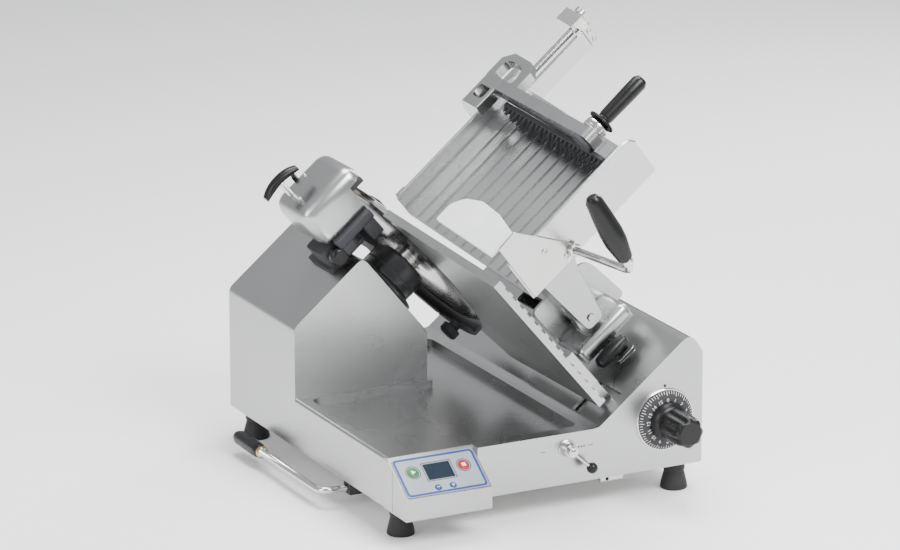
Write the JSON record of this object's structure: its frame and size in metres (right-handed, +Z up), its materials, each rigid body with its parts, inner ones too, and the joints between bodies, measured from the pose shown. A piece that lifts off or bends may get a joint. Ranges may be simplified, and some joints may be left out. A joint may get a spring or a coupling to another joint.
{
  "type": "deli meat slicer",
  "caption": "Gravity-feed deli slicer: tilted disc knife on a tower, sliding food chute with end weight, gauge plate set by a front dial, sharpener on top, low base with control panel.",
  "frame": {"origin": "centre of the bounding box footprint, on the worktop under the rubber feet", "axes": "+X to the operator's right, -Y towards the operator, +Z up"},
  "size_m": [0.609, 0.8522, 0.747],
  "materials": {
    "satin_aluminium": "satin anodised casting",
    "light_grey": "anodised sheet",
    "steel": "brushed",
    "chrome_steel": "polished",
    "black_plastic": "satin black",
    "dark_casting": "dark grey paint",
    "white_plastic": "satin white",
    "rubber": "matte",
    "panel_film": "printed film",
    "display": "gloss tinted",
    "green_plastic": "gloss",
    "red_plastic": "gloss",
    "blue_plastic": "gloss",
    "motor_paint": "painted",
    "stone": "abrasive"
  },
  "bodies": {
    "base": {"base_casting": "satin_aluminium", "bottom_cover": "steel", "control_panel": "panel_film", "display_window": "display", "front_left_foot": "rubber", "front_right_foot": "rubber", "rear_left_foot": "rubber", "rear_right_foot": "rubber", "cord_gland": "black_plastic", "hub_housing": "dark_casting", "knife_cover": "satin_aluminium", "knife_motor": "motor_paint", "motor_mount": "steel", "drive_belt": "rubber", "ring_guard": "black_plastic", "sharpener_bracket": "dark_casting", "left_carriage_rod": "chrome_steel", "right_carriage_rod": "chrome_steel", "front_rod_support": "steel", "rear_rod_support": "steel", "selector_boss": "chrome_steel", "lever_bracket": "steel"},
    "knife": {"knife": "chrome_steel", "knife_shaft": "steel", "knife_pulley": "light_grey"},
    "motor_rotor": {"motor_pulley": "steel"},
    "gauge": {"gauge_plate": "satin_aluminium", "gauge_support": "light_grey"},
    "index": {"index_dial": "black_plastic", "index_knob": "black_plastic", "index_shaft": "steel"},
    "carriage": {"carriage_block": "light_grey", "carriage_foot": "satin_aluminium"},
    "release": {"release_handle": "black_plastic"},
    "chute": {"food_chute": "light_grey", "chute_arm": "satin_aluminium", "handle_bar": "chrome_steel", "chute_grip": "black_plastic", "product_guard": "white_plastic", "guard_plate": "satin_aluminium", "slide_rail": "satin_aluminium", "rail_end_block": "steel", "slide_rod": "chrome_steel"},
    "slider": {"weight_slider": "satin_aluminium"},
    "weight": {"weight_arm": "satin_aluminium", "weight_collar": "chrome_steel", "weight_grip": "black_plastic", "pusher_plate": "black_plastic"},
    "sharpener": {"sharpener_housing": "satin_aluminium", "grinding_stone": "stone"},
    "turn_handle": {"turn_handle": "black_plastic"},
    "lock_knob": {"sharpener_lock_knob": "black_plastic"},
    "selector": {"selector_lever": "chrome_steel", "selector_ball": "black_plastic"},
    "start_button": {"start_button": "green_plastic"},
    "stop_button": {"stop_button": "red_plastic"},
    "minus_button": {"minus_button": "blue_plastic"},
    "plus_button": {"plus_button": "blue_plastic"},
    "lift_lever": {"lift_lever": "chrome_steel", "lever_grip": "black_plastic"}
  },
  "joints": [
    {"name": "knife_spin", "type": "hinge", "parent": "base", "child": "knife", "pos_m": [-0.0498, 0.21067, 0.30686], "axis": [0.766, 0, 0.6428], "continuous": true},
    {"name": "motor_spin", "type": "hinge", "parent": "base", "child": "motor_rotor", "pos_m": [-0.09748, 0.29267, 0.20811], "axis": [0.766, 0, 0.6428], "continuous": true},
    {"name": "index_turn", "type": "hinge", "parent": "base", "child": "index", "pos_m": [0.2345, -0.20933, 0.132], "axis": [0, -1, 0], "range_deg": [0, 300]},
    {"name": "gauge_slide", "type": "slide", "parent": "base", "child": "gauge", "axis": [-0.766, 0, -0.6428], "range_m": [0, 0.03]},
    {"name": "carriage_travel", "type": "slide", "parent": "base", "child": "carriage", "axis": [0, 1, 0], "range_m": [0, 0.27]},
    {"name": "release_turn", "type": "hinge", "parent": "carriage", "child": "release", "pos_m": [0.18734, -0.12733, 0.22649], "axis": [0.766, 0, 0.6428], "range_deg": [0, 90]},
    {"name": "chute_tilt", "type": "hinge", "parent": "carriage", "child": "chute", "pos_m": [0.15769, -0.06433, 0.28516], "axis": [0, 1, 0], "range_deg": [0, 40]},
    {"name": "weight_slide", "type": "slide", "parent": "chute", "child": "slider", "axis": [0.766, 0, 0.6428], "range_m": [-0.155, 0.108]},
    {"name": "weight_swing", "type": "hinge", "parent": "slider", "child": "weight", "pos_m": [0.09626, 0.11483, 0.59329], "axis": [-0.766, 0, -0.6428], "range_deg": [0, 100]},
    {"name": "sharpener_lift", "type": "slide", "parent": "base", "child": "sharpener", "axis": [-0.6428, 0, 0.766], "range_m": [0, 0.045]},
    {"name": "sharpener_handle_turn", "type": "hinge", "parent": "sharpener", "child": "turn_handle", "pos_m": [-0.23012, 0.24067, 0.46886], "axis": [-0.6428, 0, 0.766], "range_deg": [0, 90]},
    {"name": "lock_knob_turn", "type": "hinge", "parent": "base", "child": "lock_knob", "pos_m": [-0.1681, 0.17067, 0.36228], "axis": [0, -1, 0], "range_deg": [0, 120]},
    {"name": "selector_swing", "type": "hinge", "parent": "base", "child": "selector", "pos_m": [0.0545, -0.20933, 0.109], "axis": [0, 1, 0], "range_deg": [0, 96]},
    {"name": "start_button_press", "type": "slide", "parent": "base", "child": "start_button", "axis": [0, 0.563, -0.8265], "range_m": [0, 0.001], "stiffness_N_per_m": 500},
    {"name": "stop_button_press", "type": "slide", "parent": "base", "child": "stop_button", "axis": [0, 0.563, -0.8265], "range_m": [0, 0.001], "stiffness_N_per_m": 500},
    {"name": "minus_button_press", "type": "slide", "parent": "base", "child": "minus_button", "axis": [0, 0.563, -0.8265], "range_m": [0, 0.001], "stiffness_N_per_m": 500},
    {"name": "plus_button_press", "type": "slide", "parent": "base", "child": "plus_button", "axis": [0, 0.563, -0.8265], "range_m": [0, 0.001], "stiffness_N_per_m": 500},
    {"name": "lift_lever_swing", "type": "hinge", "parent": "base", "child": "lift_lever", "pos_m": [-0.1595, -0.01433, 0.03], "axis": [1, 0, 0], "range_deg": [0, 85]}
  ],
  "couplings": [
    {"joint": "motor_spin", "follows": "knife_spin", "ratio": 2},
    {"joint": "gauge_slide", "follows": "index_turn", "m_per_rad": 0.0057296}
  ]
}
